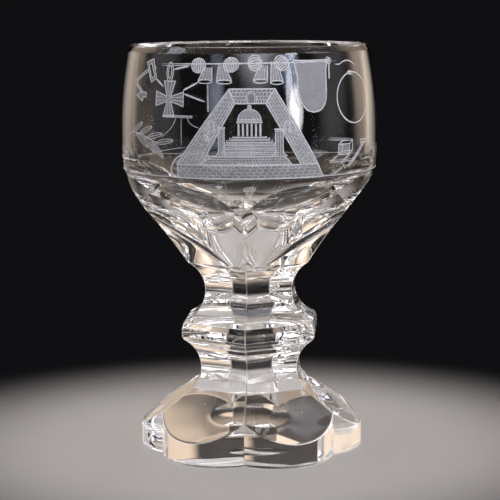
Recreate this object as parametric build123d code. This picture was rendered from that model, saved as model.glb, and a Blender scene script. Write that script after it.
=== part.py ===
from build123d import *
from math import acos, atan2, cos, hypot, pi, radians, sin, sqrt
import os

os.makedirs("parts", exist_ok=True)

# Sizes are in millimetres. The glass stands on z = 0 with its axis on Z.
# A corner of the six-sided stem and a notch of the foot face -Y.
# The half width of a six-sided portion runs from the axis to the middle of a flat side.

# Height of the whole, and the two levels where one gather of glass ends and the next begins.
total_height = 140.0
bowl_joint_z = 66.0
foot_joint_z = 25.2

# Band: the belly above the cutting, widest at its own level, and a proud lower edge.
belly_radius = 44.0
belly_z = 110.5
belly_arc = 155.0
band_edge_z = 97.4
band_edge_bevel = 0.5
band_step = 0.8
band_ledge = 1.2

# Lip: a wide outer bevel, a flat top and a narrow inner bevel.
bevel_height = 2.1
bevel_width = 1.45
lip_flat = 0.95
lip_inner_bevel = 0.6

# Hollow: a slightly bellied wall that turns through a side arc into a cone with a small round bottom.
wall = 3.3
bowl_floor = 2.2
hollow_turn_z = 107.0
hollow_side_arc = 24.0
hollow_tip_arc = 6.0

# Round bottom of the bowl, seen only between the cut arches.
shoulder_arc = 60.0
shoulder_lean = 12.5

# Six panels cut up into the bowl with a large wheel.
panel_top_drop = 1.2
panel_wheel = 180.0

# Stem: two hollows with a flat-sided knop between them.
upper_waist_half = 15.0
upper_waist_z = 56.0
upper_waist_arc = 11.8
lower_waist_half = 16.6
lower_waist_z = 28.9
lower_waist_arc = 12.3
knop_half = 22.75
knop_top_z = 43.3
knop_bottom_z = 40.3
knop_upper_crease_z = 45.2
knop_lower_crease_z = 39.1

# Foot: six lobes with a V between them, and six sloping flats on top.
lobe_reach = 38.7
notch_reach = 33.8
lobe_arc = 19.86
notch_top_z = 14.8
foot_slope = 0.72
neck_facet_half = 19.4
foot_edge_bevel = 0.9

# Polished hollow under the foot, where the working rod was broken off.
rod_mark_radius = 10.0
rod_mark_depth = 0.8

# Reach of every cutting tool beyond the glass.
clear = 60.0


def on_arc(centre_half, centre_z, arc, z):
    # Half width of a hollow at a level, on the side of its arc that faces the axis.
    return centre_half - sqrt(arc**2 - (z - centre_z) ** 2)


def waist_half(waist, waist_z, arc, z):
    return on_arc(waist + arc, waist_z, arc, z)


def mirrored(edges):
    # Closes a right-hand outline with its image across the axis.
    wire = Wire(edges)
    top, bottom = wire.position_at(1), wire.position_at(0)
    image = wire.mirror(Plane.YZ)
    upper = Line(top, (-top.X, top.Y, top.Z))
    lower = Line(bottom, (-bottom.X, bottom.Y, bottom.Z))
    return make_face([*wire.edges(), *image.edges(), upper, lower])


def six_sided(edges):
    # The same cut made from three directions leaves six equal sides.
    slab = extrude(mirrored(edges), clear, dir=(0, 1, 0), both=True)
    return slab & slab.rotate(Axis.Z, 60) & slab.rotate(Axis.Z, 120)


def at(half, z):
    return (half, 0, z)


# Widths that follow from the values above.
joint_half = waist_half(upper_waist_half, upper_waist_z, upper_waist_arc, bowl_joint_z)
neck_half = waist_half(lower_waist_half, lower_waist_z, lower_waist_arc, foot_joint_z)
upper_crease_half = waist_half(upper_waist_half, upper_waist_z, upper_waist_arc, knop_upper_crease_z)
lower_crease_half = waist_half(lower_waist_half, lower_waist_z, lower_waist_arc, knop_lower_crease_z)
belly_centre = belly_radius - belly_arc


def belly_at(z):
    return belly_centre + sqrt(belly_arc**2 - (z - belly_z) ** 2)


# Bowl
lip_corner_z = total_height - bevel_height
lip_corner = belly_at(lip_corner_z)
lip_outer = lip_corner - bevel_width
lip_inner = lip_outer - lip_flat
hollow_radius = belly_radius - wall
hollow_rise = total_height - lip_inner_bevel - hollow_turn_z
hollow_top = lip_inner - lip_inner_bevel
hollow_arc = (hollow_rise**2 + (hollow_radius - hollow_top) ** 2) / (2 * (hollow_radius - hollow_top))
half_rise = hollow_rise / 2
side_centre = hollow_radius - hollow_side_arc
tip_centre_z = bowl_joint_z + bowl_floor + hollow_tip_arc
lean_half = -side_centre
lean_z = hollow_turn_z - tip_centre_z
cone_turn = atan2(lean_z, lean_half) - acos((hollow_side_arc - hollow_tip_arc) / hypot(lean_half, lean_z))
hollow_middle = hollow_radius - hollow_arc + sqrt(hollow_arc**2 - half_rise**2)

shoulder_z = band_edge_z - band_ledge
shoulder_radius = belly_at(band_edge_z) - band_step
shoulder_centre = shoulder_radius - shoulder_arc * cos(radians(shoulder_lean))
shoulder_centre_z = shoulder_z + shoulder_arc * sin(radians(shoulder_lean))


def shoulder_at(z):
    return shoulder_centre + sqrt(shoulder_arc**2 - (shoulder_centre_z - z) ** 2)


def side_arc_at(turn):
    # A point on the hollow's side arc, with the turn counted down from its widest level.
    return at(side_centre + hollow_side_arc * cos(turn), hollow_turn_z - hollow_side_arc * sin(turn))


def tip_arc_at(turn):
    return at(hollow_tip_arc * cos(turn), tip_centre_z - hollow_tip_arc * sin(turn))


hidden_z = 80.0
band_lip = belly_at(band_edge_z + band_edge_bevel)
band_middle_z = (lip_corner_z + band_edge_z) / 2
bowl_outline = [
    Line(at(0, bowl_joint_z), at(shoulder_at(hidden_z), bowl_joint_z)),
    Line(at(shoulder_at(hidden_z), bowl_joint_z), at(shoulder_at(hidden_z), hidden_z)),
    ThreePointArc(
        at(shoulder_at(hidden_z), hidden_z),
        at(shoulder_at((hidden_z + shoulder_z) / 2), (hidden_z + shoulder_z) / 2),
        at(shoulder_radius, shoulder_z),
    ),
    Line(at(shoulder_radius, shoulder_z), at(band_lip - band_edge_bevel, band_edge_z)),
    Line(at(band_lip - band_edge_bevel, band_edge_z), at(band_lip, band_edge_z + band_edge_bevel)),
    ThreePointArc(
        at(band_lip, band_edge_z + band_edge_bevel),
        at(belly_at(band_middle_z), band_middle_z),
        at(lip_corner, lip_corner_z),
    ),
    Line(at(lip_corner, lip_corner_z), at(lip_outer, total_height)),
    Line(at(lip_outer, total_height), at(0, total_height)),
    Line(at(0, total_height), at(0, bowl_joint_z)),
]
hollow_outline = [
    Line(at(0, total_height + 1), at(lip_inner, total_height + 1)),
    Line(at(lip_inner, total_height + 1), at(lip_inner, total_height)),
    Line(at(lip_inner, total_height), at(hollow_top, total_height - lip_inner_bevel)),
    ThreePointArc(
        at(hollow_top, total_height - lip_inner_bevel),
        at(hollow_middle, hollow_turn_z + half_rise),
        at(hollow_radius, hollow_turn_z),
    ),
    ThreePointArc(side_arc_at(0), side_arc_at(cone_turn / 2), side_arc_at(cone_turn)),
    Line(side_arc_at(cone_turn), tip_arc_at(cone_turn)),
    ThreePointArc(tip_arc_at(cone_turn), tip_arc_at((cone_turn + pi / 2) / 2), tip_arc_at(pi / 2)),
    Line(tip_arc_at(pi / 2), at(0, total_height + 1)),
]
bowl_blank = revolve(make_face(bowl_outline), Axis.Z, 360)
hollow = revolve(make_face(hollow_outline), Axis.Z, 360)

# The panels rise from the joint in one long hollow sweep and leave the bowl just under the band.
panel_top_z = shoulder_z - panel_top_drop
panel_top_half = shoulder_at(panel_top_z)
panel_rise = panel_top_z - bowl_joint_z
panel_run = panel_top_half - joint_half
panel_chord = sqrt(panel_rise**2 + panel_run**2)
panel_offset = sqrt(panel_wheel**2 - (panel_chord / 2) ** 2)
panel_centre = (joint_half + panel_top_half) / 2 + panel_offset * panel_rise / panel_chord
panel_centre_z = (bowl_joint_z + panel_top_z) / 2 - panel_offset * panel_run / panel_chord


def panel_at(z):
    return on_arc(panel_centre, panel_centre_z, panel_wheel, z)


panel_exit_z = panel_top_z + 3
panel_middle_z = (bowl_joint_z + panel_exit_z) / 2
bowl_cut = six_sided(
    [
        ThreePointArc(
            at(joint_half, bowl_joint_z),
            at(panel_at(panel_middle_z), panel_middle_z),
            at(panel_at(panel_exit_z), panel_exit_z),
        ),
        Line(at(panel_at(panel_exit_z), panel_exit_z), at(clear, panel_exit_z + 1)),
        Line(at(clear, panel_exit_z + 1), at(clear, total_height + 1)),
    ]
)
bowl = (bowl_blank & bowl_cut) - hollow

# Stem
waist_upper = waist_half(upper_waist_half, upper_waist_z, upper_waist_arc, upper_waist_z)
waist_lower = waist_half(lower_waist_half, lower_waist_z, lower_waist_arc, lower_waist_z)
stem = six_sided(
    [
        ThreePointArc(
            at(neck_half, foot_joint_z),
            at(waist_lower, lower_waist_z),
            at(lower_crease_half, knop_lower_crease_z),
        ),
        Line(at(lower_crease_half, knop_lower_crease_z), at(knop_half, knop_bottom_z)),
        Line(at(knop_half, knop_bottom_z), at(knop_half, knop_top_z)),
        Line(at(knop_half, knop_top_z), at(upper_crease_half, knop_upper_crease_z)),
        ThreePointArc(
            at(upper_crease_half, knop_upper_crease_z),
            at(waist_upper, upper_waist_z),
            at(joint_half, bowl_joint_z),
        ),
    ]
)

# Foot
lobe_centre = lobe_reach - lobe_arc
notch_angle = 30
notch_half = notch_reach * cos(radians(notch_angle))
neck_facet_z = notch_top_z + foot_slope * (notch_half - neck_facet_half)
outside_half = lobe_reach + 2
outside_z = notch_top_z - foot_slope * (outside_half - notch_half)


def around(radius, angle):
    # A point in plan, with the angle counted from -Y toward +X.
    return (radius * sin(radians(angle)), -radius * cos(radians(angle)), 0)


lobes = [
    ThreePointArc(
        around(notch_reach, middle - notch_angle),
        around(lobe_reach, middle),
        around(notch_reach, middle + notch_angle),
    )
    for middle in range(30, 390, 60)
]
plate = extrude(make_face(lobes), foot_joint_z)
foot_edges = plate.edges().filter_by_position(Axis.Z, -0.01, 0.01)
plate = chamfer(foot_edges, foot_edge_bevel)
foot_cut = six_sided(
    [
        Line(at(outside_half, -1), at(outside_half, outside_z)),
        Line(at(outside_half, outside_z), at(neck_facet_half, neck_facet_z)),
        Line(at(neck_facet_half, neck_facet_z), at(neck_half, foot_joint_z)),
    ]
)
rod_mark_arc = (rod_mark_radius**2 + rod_mark_depth**2) / (2 * rod_mark_depth)
rod_mark = Pos(0, 0, rod_mark_depth - rod_mark_arc) * Sphere(rod_mark_arc)
foot = plate & foot_cut
foot = foot - rod_mark

for node, shape in (("bowl", bowl), ("stem", stem), ("foot", foot)):
    solid = shape.solids()[0]
    export_step(solid, "parts/" + node + ".step")
    print(node, len(shape.solids()), round(solid.volume), solid.bounding_box())
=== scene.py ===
import math

import bpy
import numpy as np
from mathutils import Matrix, Vector, noise


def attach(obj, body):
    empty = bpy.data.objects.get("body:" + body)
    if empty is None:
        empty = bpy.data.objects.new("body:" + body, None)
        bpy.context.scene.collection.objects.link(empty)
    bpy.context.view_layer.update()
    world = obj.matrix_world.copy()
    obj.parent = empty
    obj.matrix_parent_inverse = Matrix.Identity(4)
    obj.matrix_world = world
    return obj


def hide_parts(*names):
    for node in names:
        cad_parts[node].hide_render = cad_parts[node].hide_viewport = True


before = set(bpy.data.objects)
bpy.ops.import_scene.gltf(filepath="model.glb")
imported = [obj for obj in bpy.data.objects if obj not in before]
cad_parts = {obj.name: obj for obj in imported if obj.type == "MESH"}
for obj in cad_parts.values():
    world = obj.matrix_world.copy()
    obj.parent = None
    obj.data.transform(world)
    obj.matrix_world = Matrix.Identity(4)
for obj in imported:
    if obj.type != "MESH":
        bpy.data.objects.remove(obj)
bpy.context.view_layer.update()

mm = 0.001


def deg(value):
    return math.radians(value)


# Glass body: bowl, stem and foot as one seamless skin.

glassSize = {
    "height": 140.0, "bowlJoint": 66.0, "footJoint": 25.2,
    "bellyRadius": 44.0, "bellyZ": 110.5, "bellyArc": 155.0,
    "bandEdge": 97.4, "bandBevel": 0.5, "bandStep": 0.8, "bandLedge": 1.2,
    "lipBevelHeight": 2.1, "lipBevelWidth": 1.45, "lipFlat": 0.95, "lipInnerBevel": 0.6,
    "wall": 3.3, "bowlFloor": 2.2, "hollowTurn": 107.0, "hollowSideArc": 24.0, "hollowTipArc": 6.0,
    "shoulderArc": 60.0, "shoulderLean": 12.5,
    "panelDrop": 1.2, "panelWheel": 180.0,
    "upperWaist": 15.0, "upperWaistZ": 56.0, "upperWaistArc": 11.8,
    "lowerWaist": 16.6, "lowerWaistZ": 28.9, "lowerWaistArc": 12.3,
    "knopHalf": 22.75, "knopTop": 43.3, "knopBottom": 40.3, "knopUpperCrease": 45.2, "knopLowerCrease": 39.1,
    "lobeReach": 38.7, "notchReach": 33.8, "lobeArc": 19.86, "notchTop": 14.8, "footSlope": 0.72,
    "neckFacet": 19.4, "footEdge": 0.9, "rodMarkRadius": 10.0, "rodMarkDepth": 0.8,
    "edgeRound": 0.2,      # softness of a polished crease
    "cornerRound": 0.6,    # radius of a polished corner of the six sides
    "acrossFlat": 34,      # columns of faces on one of the six sides
    "waver": 0.05,         # unevenness of the blown inside
    "bandWaver": 0.03,     # the same on the outside of the band
    "wheelWaver": 0.03,    # unevenness left by the cutting wheel
    "footWaver": 0.07,     # the same on the foot
    "bandSink": 0.06,      # the ground skin of the band, under the engraving
}
g = glassSize


def bellyAt(z):
    return g["bellyRadius"] - g["bellyArc"] + np.sqrt(g["bellyArc"] ** 2 - (z - g["bellyZ"]) ** 2)


shoulderZ = g["bandEdge"] - g["bandLedge"]
shoulderRadius = bellyAt(g["bandEdge"]) - g["bandStep"]
shoulderCentre = shoulderRadius - g["shoulderArc"] * math.cos(deg(g["shoulderLean"]))
shoulderCentreZ = shoulderZ + g["shoulderArc"] * math.sin(deg(g["shoulderLean"]))


def shoulderAt(z):
    return shoulderCentre + np.sqrt(g["shoulderArc"] ** 2 - (shoulderCentreZ - z) ** 2)


def waistAt(name, z):
    arc = g[name + "Arc"]
    return g[name] + arc - np.sqrt(arc**2 - (z - g[name + "Z"]) ** 2)


jointHalf = waistAt("upperWaist", g["bowlJoint"])
neckHalf = waistAt("lowerWaist", g["footJoint"])
panelTop = shoulderZ - g["panelDrop"]
panelTopHalf = shoulderAt(panelTop)
panelRise, panelRun = panelTop - g["bowlJoint"], panelTopHalf - jointHalf
panelChord = math.hypot(panelRise, panelRun)
panelOffset = math.sqrt(g["panelWheel"] ** 2 - (panelChord / 2) ** 2)
panelCentre = (jointHalf + panelTopHalf) / 2 + panelOffset * panelRise / panelChord
panelCentreZ = (g["bowlJoint"] + panelTop) / 2 - panelOffset * panelRun / panelChord


def panelAt(z):
    return panelCentre - np.sqrt(g["panelWheel"] ** 2 - (z - panelCentreZ) ** 2)


# Columns: each flat side is stepped evenly, with four close columns beside each corner for its polished edge.
sideSteps = np.tan(deg(28.9)) * np.linspace(-1, 1, g["acrossFlat"] + 1)
sideAngles = np.degrees(np.arctan(sideSteps))
sideAngles = np.concatenate([[-29.85, -29.6, -29.25], sideAngles, [29.25, 29.6, 29.85]])
columnFace = np.concatenate([sideAngles for _ in range(6)])
columnTurn = np.concatenate([sideAngles + 30 + 60 * side for side in range(6)])
columns = len(columnTurn)
across = np.stack([np.sin(np.radians(columnTurn)), -np.cos(np.radians(columnTurn))], axis=1)
faceCos = np.cos(np.radians(columnFace))
cornerOff = np.radians(30 - np.abs(columnFace))


def place(radius, z):
    radius = np.broadcast_to(np.asarray(radius, float), (columns,))
    z = np.broadcast_to(np.asarray(z, float), (columns,))
    return np.column_stack([across * radius[:, None], z])


def hexRadius(half):
    # Distance to a six-sided outline whose corners are rounded by polishing.
    soft = g["cornerRound"]
    half = np.broadcast_to(np.asarray(half, float), (columns,))
    flat = half / faceCos
    corner = (half - soft) / math.cos(deg(30))
    inside = soft**2 - (corner * np.sin(cornerOff)) ** 2
    rounded = corner * np.cos(cornerOff) + np.sqrt(np.maximum(inside, 0))
    tangent = half * math.tan(deg(30)) - soft * math.tan(deg(30))
    offFace = half * np.tan(np.radians(np.abs(columnFace)))
    return np.where(offFace > tangent, np.where(inside > 0, rounded, flat), flat)


def lobeRadius(arc):
    centre = g["lobeReach"] - g["lobeArc"]
    side = centre * np.sin(np.radians(columnFace))
    return centre * faceCos + np.sqrt(arc**2 - side**2)


rows = []       # each is an array of points, one for each column
creases = []    # True where the row is a polished edge


def addRow(radius, z, crease=False):
    rows.append(place(radius, z))
    creases.append(crease)


def between(low, high, count):
    # Levels strictly between two creases.
    return low + (high - low) * (np.arange(1, count + 1) / (count + 1))


# Under the foot: the polished hollow, then the flat it stands on.
markArc = (g["rodMarkRadius"] ** 2 + g["rodMarkDepth"] ** 2) / (2 * g["rodMarkDepth"])
for radius in (0.8, 2.2, 3.6, 5.0, 6.4, 7.8, 9.2):
    addRow(radius, g["rodMarkDepth"] - markArc + math.sqrt(markArc**2 - radius**2))
addRow(g["rodMarkRadius"], 0, True)
standRim = lobeRadius(g["lobeArc"] - g["footEdge"])
for part in (0.08, 0.3, 0.5, 0.7, 0.88, 0.97):
    addRow(g["rodMarkRadius"] + (standRim - g["rodMarkRadius"]) * part, 0)
for turn in (0, 22.5, 45, 67.5, 90):
    arc = g["lobeArc"] - g["footEdge"] * (1 - math.sin(deg(turn)))
    addRow(lobeRadius(arc), g["footEdge"] * (1 - math.cos(deg(turn))))

# Foot wall and the six sloping flats above it.
notchHalf = g["notchReach"] * math.cos(deg(30))
wallRadius = lobeRadius(g["lobeArc"])
rimHalf = wallRadius * wallRadius / hexRadius(wallRadius * faceCos) * faceCos


def slopeAt(half):
    return g["notchTop"] - g["footSlope"] * (half - notchHalf)


rimZ = slopeAt(rimHalf)
for part in (0.06, 0.2, 0.35, 0.5, 0.65, 0.8, 0.93):
    addRow(wallRadius, g["footEdge"] + (rimZ - g["footEdge"]) * part)
addRow(wallRadius, rimZ, True)
for part in (0.04, 0.12, 0.22, 0.34, 0.46, 0.58, 0.7, 0.82, 0.91, 0.97):
    half = rimHalf + (g["neckFacet"] - rimHalf) * part
    addRow(hexRadius(half), slopeAt(half))
addRow(hexRadius(g["neckFacet"]), slopeAt(g["neckFacet"]), True)
for part in (0.2, 0.4, 0.6, 0.8):
    half = g["neckFacet"] + (neckHalf - g["neckFacet"]) * part
    addRow(hexRadius(half), slopeAt(g["neckFacet"]) + (g["footJoint"] - slopeAt(g["neckFacet"])) * part)
addRow(hexRadius(neckHalf), g["footJoint"], True)

# Stem: waist, knop, waist.
for z in between(g["footJoint"], g["knopLowerCrease"], 22):
    addRow(hexRadius(waistAt("lowerWaist", z)), z)
lowerCreaseHalf = waistAt("lowerWaist", g["knopLowerCrease"])
upperCreaseHalf = waistAt("upperWaist", g["knopUpperCrease"])
addRow(hexRadius(lowerCreaseHalf), g["knopLowerCrease"], True)
addRow(hexRadius((lowerCreaseHalf + g["knopHalf"]) / 2), (g["knopLowerCrease"] + g["knopBottom"]) / 2)
addRow(hexRadius(g["knopHalf"]), g["knopBottom"], True)
for z in between(g["knopBottom"], g["knopTop"], 3):
    addRow(hexRadius(g["knopHalf"]), z)
addRow(hexRadius(g["knopHalf"]), g["knopTop"], True)
addRow(hexRadius((upperCreaseHalf + g["knopHalf"]) / 2), (g["knopUpperCrease"] + g["knopTop"]) / 2)
addRow(hexRadius(upperCreaseHalf), g["knopUpperCrease"], True)
for z in between(g["knopUpperCrease"], g["bowlJoint"], 30):
    addRow(hexRadius(waistAt("upperWaist", z)), z)
addRow(hexRadius(jointHalf), g["bowlJoint"], True)

# Panels: every column climbs its panel to the arch, then the round shoulder to the band.
low, high = np.full(columns, 78.0), np.full(columns, shoulderZ)
for _ in range(40):
    middle = (low + high) / 2
    outside = hexRadius(panelAt(middle)) > shoulderAt(middle)
    high, low = np.where(outside, middle, high), np.where(outside, low, middle)
archZ = (low + high) / 2
for part in np.concatenate([between(0, 1, 34), [0.985]]):
    z = g["bowlJoint"] + (archZ - g["bowlJoint"]) * part
    addRow(hexRadius(panelAt(z)), z)
addRow(shoulderAt(archZ), archZ, True)
for part in (0.05, 0.14, 0.26, 0.4, 0.55, 0.7, 0.84, 0.94):
    z = archZ + (shoulderZ - archZ) * part
    addRow(shoulderAt(z), z)
addRow(shoulderRadius, shoulderZ, True)
bandLip = bellyAt(g["bandEdge"] + g["bandBevel"])
addRow((shoulderRadius + bandLip - g["bandBevel"]) / 2, (shoulderZ + g["bandEdge"]) / 2)
addRow(bandLip - g["bandBevel"], g["bandEdge"], True)
addRow(bandLip, g["bandEdge"] + g["bandBevel"], True)

# Band and lip.
lipCornerZ = g["height"] - g["lipBevelHeight"]
lipCorner = bellyAt(lipCornerZ)
lipOuter = lipCorner - g["lipBevelWidth"]
lipInner = lipOuter - g["lipFlat"]
hollowTop = lipInner - g["lipInnerBevel"]
hollowTopZ = g["height"] - g["lipInnerBevel"]
for z in between(g["bandEdge"] + g["bandBevel"], lipCornerZ, 26):
    addRow(bellyAt(z), z)
addRow(lipCorner, lipCornerZ, True)
for part in (0.25, 0.5, 0.75):
    addRow(lipCorner + (lipOuter - lipCorner) * part, lipCornerZ + (g["height"] - lipCornerZ) * part)
addRow(lipOuter, g["height"], True)
addRow((lipOuter + lipInner) / 2, g["height"])
addRow(lipInner, g["height"], True)
addRow(hollowTop, hollowTopZ, True)

# Hollow: wall, side arc, cone and round bottom.
hollowRadius = g["bellyRadius"] - g["wall"]
hollowRise = hollowTopZ - g["hollowTurn"]
hollowArc = (hollowRise**2 + (hollowRadius - hollowTop) ** 2) / (2 * (hollowRadius - hollowTop))
hollowBottom = g["bowlJoint"] + g["bowlFloor"]
sideCentre, tipCentreZ = hollowRadius - g["hollowSideArc"], hollowBottom + g["hollowTipArc"]
leanX, leanZ = -sideCentre, g["hollowTurn"] - tipCentreZ
coneTurn = math.atan2(leanZ, leanX) - math.acos((g["hollowSideArc"] - g["hollowTipArc"]) / math.hypot(leanX, leanZ))
insideFrom = len(rows)
for z in between(hollowTopZ, g["hollowTurn"], 22):
    addRow(hollowRadius - hollowArc + math.sqrt(hollowArc**2 - (z - g["hollowTurn"]) ** 2), z)
for turn in np.linspace(0, coneTurn, 20):
    addRow(sideCentre + g["hollowSideArc"] * math.cos(turn), g["hollowTurn"] - g["hollowSideArc"] * math.sin(turn))
coneTop = sideCentre + g["hollowSideArc"] * math.cos(coneTurn), g["hollowTurn"] - g["hollowSideArc"] * math.sin(coneTurn)
coneFoot = g["hollowTipArc"] * math.cos(coneTurn), tipCentreZ - g["hollowTipArc"] * math.sin(coneTurn)
for part in between(0, 1, 12):
    addRow(coneTop[0] + (coneFoot[0] - coneTop[0]) * part, coneTop[1] + (coneFoot[1] - coneTop[1]) * part)
for turn in np.linspace(coneTurn, math.pi / 2, 12)[:-1]:
    addRow(g["hollowTipArc"] * math.cos(turn), tipCentreZ - g["hollowTipArc"] * math.sin(turn))

# Soften every crease with a short curve between points a little way along both sides of it.
soft, inside = [], []
for index, row in enumerate(rows):
    if not creases[index]:
        soft.append(row)
        inside.append(index >= insideFrom)
        continue
    before, after = rows[index - 1] - row, rows[index + 1] - row
    for part in (0, 0.25, 0.5, 0.75, 1):
        width = g["edgeRound"]
        backLength = np.linalg.norm(before, axis=1, keepdims=True)
        onLength = np.linalg.norm(after, axis=1, keepdims=True)
        start = row + before / backLength * np.minimum(width, backLength * 0.4)
        end = row + after / onLength * np.minimum(width, onLength * 0.4)
        soft.append(start * (1 - part) ** 2 + row * 2 * part * (1 - part) + end * part**2)
        inside.append(False)
skin = np.array(soft)
print("glass skin", skin.shape)

# Hand-made unevenness: slow waves on the blown inside and on the cut outside, always inward from the true size.
for index in range(len(skin)):
    for column in range(columns):
        point = skin[index, column]
        if inside[index]:
            push = g["waver"] * noise.noise(Vector(point) * 0.055)
        elif g["bandEdge"] + 0.4 < point[2] < lipCornerZ - 0.2:
            push = -g["bandSink"] - g["bandWaver"] * (0.5 + 0.5 * noise.noise(Vector(point) * 0.06 + Vector((9, 4, 2))))
        elif 1.0 < point[2] < lipCornerZ:
            waver = g["footWaver"] if point[2] < g["footJoint"] else g["wheelWaver"]
            push = -waver * (0.5 + 0.5 * noise.noise(Vector(point) * 0.16 + Vector((3, 7, 1))))
        else:
            continue
        skin[index, column, :2] += across[column] * push

vertices = [tuple(p) for p in (skin.reshape(-1, 3) * mm)]
faces = []
for index in range(len(skin) - 1):
    here, above = index * columns, (index + 1) * columns
    for column in range(columns):
        beside = (column + 1) % columns
        faces.append((here + column, here + beside, above + beside, above + column))
bottomPole, hollowPole = len(vertices), len(vertices) + 1
vertices.append((0, 0, g["rodMarkDepth"] * mm))
vertices.append((0, 0, hollowBottom * mm))
last = (len(skin) - 1) * columns
for column in range(columns):
    beside = (column + 1) % columns
    faces.append((bottomPole, beside, column))
    faces.append((last + column, last + beside, hollowPole))
mesh = bpy.data.meshes.new("glassBody")
mesh.from_pydata(vertices, [], faces)
mesh.validate()
mesh.polygons.foreach_set("use_smooth", [True] * len(mesh.polygons))
glassBody = bpy.data.objects.new("glassBody", mesh)
bpy.context.scene.collection.objects.link(glassBody)
print("glass body", len(mesh.polygons), "faces")

# Node helpers.


def addNode(tree, kind, inputs=None, **settings):
    made = tree.nodes.new(kind)
    for name, value in settings.items():
        setattr(made, name, value)
    for key, value in (inputs or {}).items():
        if isinstance(value, bpy.types.NodeSocket):
            tree.links.new(value, made.inputs[key])
        else:
            made.inputs[key].default_value = value
    return made


def maths(tree, operation, *values):
    return addNode(tree, "ShaderNodeMath", dict(enumerate(values)), operation=operation).outputs[0]


def vectorMaths(tree, operation, *values):
    return addNode(tree, "ShaderNodeVectorMath", dict(enumerate(values)), operation=operation).outputs[0]


def scaled(tree, vector, factor):
    return addNode(tree, "ShaderNodeVectorMath", {0: vector, "Scale": factor}, operation="SCALE").outputs[0]


def blend(tree, factor, first, second):
    return addNode(tree, "ShaderNodeMix", {0: factor, 4: first, 5: second}, data_type="VECTOR").outputs[1]


def apart(tree, vector):
    return addNode(tree, "ShaderNodeSeparateXYZ", {0: vector}).outputs


def joined(tree, x, y, z):
    return addNode(tree, "ShaderNodeCombineXYZ", {0: x, 1: y, 2: z}).outputs[0]


# Materials.


def newMaterial(name):
    material = bpy.data.materials.new(name)
    material.use_nodes = True
    tree = material.node_tree
    tree.nodes.clear()
    output = tree.nodes.new("ShaderNodeOutputMaterial")
    shader = tree.nodes.new("ShaderNodeBsdfPrincipled")
    tree.links.new(shader.outputs["BSDF"], output.inputs["Surface"])
    return material, tree, shader


handWear = bpy.data.node_groups.new("handWear", "ShaderNodeTree")
for label in ("Polish", "Smear", "Rim Wear", "Edge Wear"):
    handWear.interface.new_socket(label, in_out="INPUT", socket_type="NodeSocketFloat")
for label, kind in {"Roughness": "Float", "Height": "Float", "Tint": "Color"}.items():
    handWear.interface.new_socket(label, in_out="OUTPUT", socket_type="NodeSocket" + kind)
given = handWear.nodes.new("NodeGroupInput").outputs
where = handWear.nodes.new("ShaderNodeTexCoord").outputs["Object"]
patches = addNode(handWear, "ShaderNodeTexNoise", {"Vector": where, "Scale": 38.0, "Detail": 2.0})
wiped = addNode(handWear, "ShaderNodeMapping", {"Vector": where, "Scale": (1.0, 1.0, 9.0)})
streaks = addNode(handWear, "ShaderNodeTexNoise", {"Vector": wiped.outputs[0], "Scale": 210.0, "Detail": 3.0})
pits = addNode(handWear, "ShaderNodeTexVoronoi", {"Vector": where, "Scale": 420.0})
patch = addNode(handWear, "ShaderNodeMapRange", {"Value": patches.outputs[0], "From Min": 0.5, "From Max": 0.68})
streak = addNode(handWear, "ShaderNodeMapRange", {"Value": streaks.outputs[0], "From Min": 0.42, "From Max": 0.7})
pit = addNode(handWear, "ShaderNodeMapRange", {"Value": pits.outputs["Distance"], "From Min": 0.0, "From Max": 0.09,
                                               "To Min": 1.0, "To Max": 0.0})
chosen = maths(handWear, "GREATER_THAN", apart(handWear, pits.outputs["Color"])[0], 0.82)
pitDepth = maths(handWear, "MULTIPLY", pit.outputs[0], chosen)
heightParts = apart(handWear, where)
rim = addNode(handWear, "ShaderNodeMapRange", {"Value": heightParts[2], "From Min": 0.0002, "From Max": 0.0011,
                                               "To Min": 1.0, "To Max": 0.0})
outward = vectorMaths(handWear, "MULTIPLY", where, (1, 1, 0))
radius = addNode(handWear, "ShaderNodeVectorMath", {0: outward}, operation="LENGTH").outputs["Value"]
onRim = maths(handWear, "MULTIPLY", rim.outputs[0], maths(handWear, "GREATER_THAN", radius, 0.0315))
turn = maths(handWear, "ARCTAN2", heightParts[0], maths(handWear, "MULTIPLY", heightParts[1], -1))
cornerTurn = maths(handWear, "ABSOLUTE", maths(handWear, "SINE", maths(handWear, "MULTIPLY", turn, 3)))
offCorner = maths(handWear, "MULTIPLY", maths(handWear, "DIVIDE", cornerTurn, 3), radius)
corner = addNode(handWear, "ShaderNodeMapRange", {"Value": offCorner, "From Min": 0.00012, "From Max": 0.0003,
                                                  "To Min": 1.0, "To Max": 0.0})
aboveFoot = maths(handWear, "GREATER_THAN", heightParts[2], 0.0125)
onCorner = maths(handWear, "MULTIPLY", maths(handWear, "MULTIPLY", corner.outputs[0], aboveFoot),
                 maths(handWear, "LESS_THAN", heightParts[2], 0.0765))
smear = maths(handWear, "MULTIPLY", maths(handWear, "MULTIPLY", patch.outputs[0], streak.outputs[0]), given["Smear"])
worn = maths(handWear, "ADD", maths(handWear, "MULTIPLY", onRim, given["Rim Wear"]),
             maths(handWear, "MULTIPLY", onCorner, given["Edge Wear"]))
dust = maths(handWear, "MULTIPLY", pitDepth, 0.5)
rough = maths(handWear, "ADD", maths(handWear, "ADD", given["Polish"], dust), maths(handWear, "ADD", smear, worn))
relief = maths(handWear, "SUBTRACT", maths(handWear, "MULTIPLY", streak.outputs[0], 0.04), pitDepth)
tint = addNode(handWear, "ShaderNodeMix", {0: patches.outputs[0], 6: (0.99, 0.975, 0.955, 1), 7: (0.975, 0.965, 0.95, 1)},
               data_type="RGBA")
addNode(handWear, "NodeGroupOutput", {0: rough, 1: relief, 2: tint.outputs[2]})

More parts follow.
